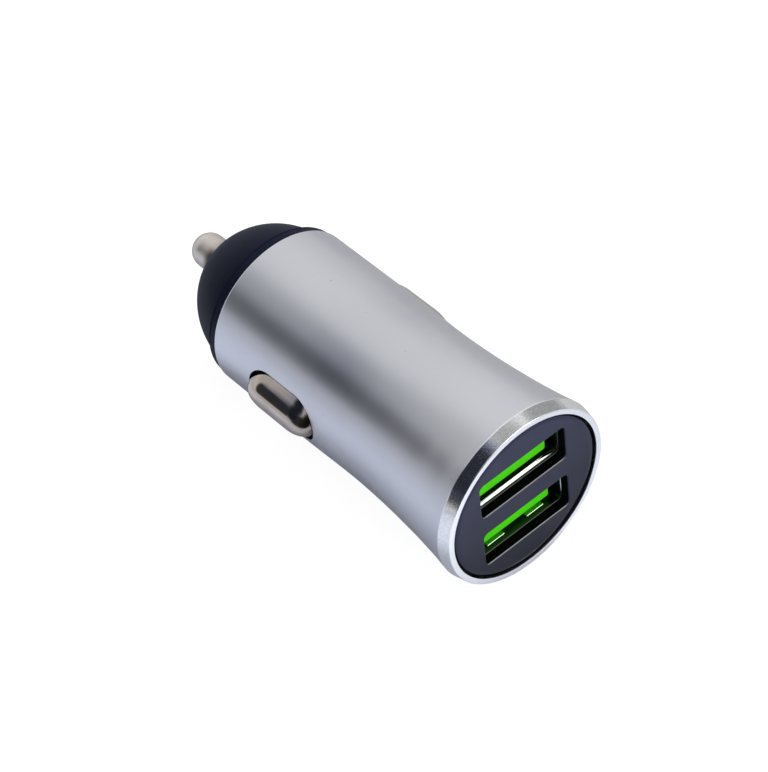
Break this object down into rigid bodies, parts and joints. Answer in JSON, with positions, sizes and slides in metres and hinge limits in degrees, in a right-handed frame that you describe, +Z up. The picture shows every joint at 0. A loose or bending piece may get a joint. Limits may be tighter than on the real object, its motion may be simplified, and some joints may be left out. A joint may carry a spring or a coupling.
{
  "type": "car charger plug",
  "caption": "Round metal-bodied plug for a vehicle's 12 V socket, with a flared front holding two charging ports, a black domed nose, a sprung centre contact and sprung side contacts.",
  "frame": {"origin": "on the plug's axis, at the plane where the flared front ends and the straight neck begins", "axes": "+Y along the plug's axis towards the nose, so the ports face -Y; the ports' slots run along X; +Z up, with each tongue in the lower half of its port"},
  "size_m": [0.0238, 0.058, 0.0238],
  "materials": {
    "anodised_aluminium": "satin anodised, with a polished bevel and rim",
    "face_plastic": "fine matte moulding",
    "nose_plastic": "smooth matte moulding",
    "nickel": "bright nickel plate",
    "spring_steel": "drawn wire",
    "brass_strip": "stamped strip",
    "carrier_plastic": "moulded",
    "port_steel": "bright stamped sheet",
    "lime_plastic": "bright moulded",
    "gold_strip": "gold flash",
    "circuit_board": "solder mask",
    "ferrite": "pressed ferrite",
    "capacitor_can": "drawn can",
    "black_package": "moulded package",
    "fuse_body": "ceramic",
    "ceramic_body": "ceramic with tinned ends"
  },
  "bodies": {
    "body": {"barrel_shell": "anodised_aluminium", "face_plate": "face_plastic", "nose_cap": "nose_plastic", "tip_spring": "spring_steel", "tip_spring_seat": "brass_strip", "left_contact_spring": "spring_steel", "right_contact_spring": "spring_steel", "left_ground_strap": "brass_strip", "right_ground_strap": "brass_strip", "contact_carrier": "carrier_plastic", "upper_port_shell": "port_steel", "lower_port_shell": "port_steel", "upper_port_insulator": "lime_plastic", "lower_port_insulator": "lime_plastic", "upper_port_strips": "gold_strip", "lower_port_strips": "gold_strip", "port_board": "circuit_board", "main_board": "circuit_board", "power_inductor": "ferrite", "input_capacitor": "capacitor_can", "output_capacitor": "capacitor_can", "controller_chip": "black_package", "rectifier_diode": "black_package", "board_fuse": "fuse_body", "ceramic_capacitors": "ceramic_body"},
    "tip_plunger": {"tip_contact": "nickel"},
    "left_side_contact": {"left_contact": "nickel"},
    "right_side_contact": {"right_contact": "nickel"}
  },
  "joints": [
    {"name": "tip_plunge", "type": "slide", "parent": "body", "child": "tip_plunger", "axis": [0, -1, 0], "range_m": [0, 0.003], "stiffness_N_per_m": 500, "springref_m": -0.004, "deforming": ["tip_spring"]},
    {"name": "left_contact_press", "type": "slide", "parent": "body", "child": "left_side_contact", "axis": [1, 0, 0], "range_m": [0, 0.00155], "stiffness_N_per_m": 600, "springref_m": -0.002, "deforming": ["left_contact_spring"]},
    {"name": "right_contact_press", "type": "slide", "parent": "body", "child": "right_side_contact", "axis": [-1, 0, 0], "range_m": [0, 0.00155], "stiffness_N_per_m": 600, "springref_m": -0.002, "deforming": ["right_contact_spring"]}
  ]
}
